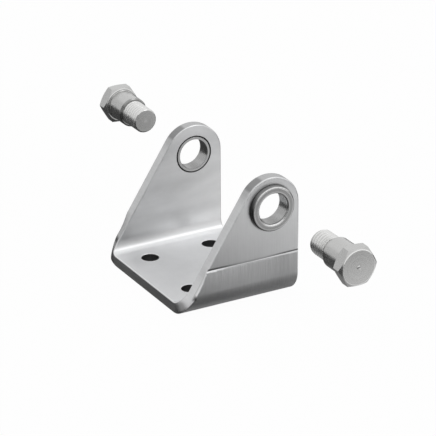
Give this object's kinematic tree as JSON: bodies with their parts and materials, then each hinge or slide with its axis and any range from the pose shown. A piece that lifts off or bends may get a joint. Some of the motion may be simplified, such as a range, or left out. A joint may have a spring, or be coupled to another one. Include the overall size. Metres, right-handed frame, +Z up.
{
  "type": "cylinder rear clevis mount",
  "caption": "Folded steel clevis mount for the rear of a pneumatic cylinder, with flanged pivot bushings and threaded shoulder pins drawn out.",
  "frame": {"origin": "middle of the base's underside, in the mounting plane", "axes": "+Z up from the base, +Y along the pivot axis to the left ear, +X towards the upright rear edges of the ears"},
  "size_m": [0.049, 0.187, 0.05],
  "materials": {
    "plated_steel": "satin",
    "bushing_metal": "satin",
    "turned_steel": "satin"
  },
  "bodies": {
    "mount": {"bracket": "plated_steel", "left_bushing": "bushing_metal", "right_bushing": "bushing_metal"},
    "left_pin": {"left_pivot_pin": "turned_steel"},
    "right_pin": {"right_pivot_pin": "turned_steel"}
  },
  "joints": [
    {"name": "left_pin_slide", "type": "slide", "parent": "mount", "child": "left_pin", "axis": [0, -1, 0], "range_m": [0, 0.0538]},
    {"name": "right_pin_slide", "type": "slide", "parent": "mount", "child": "right_pin", "axis": [0, 1, 0], "range_m": [0, 0.0538]}
  ]
}
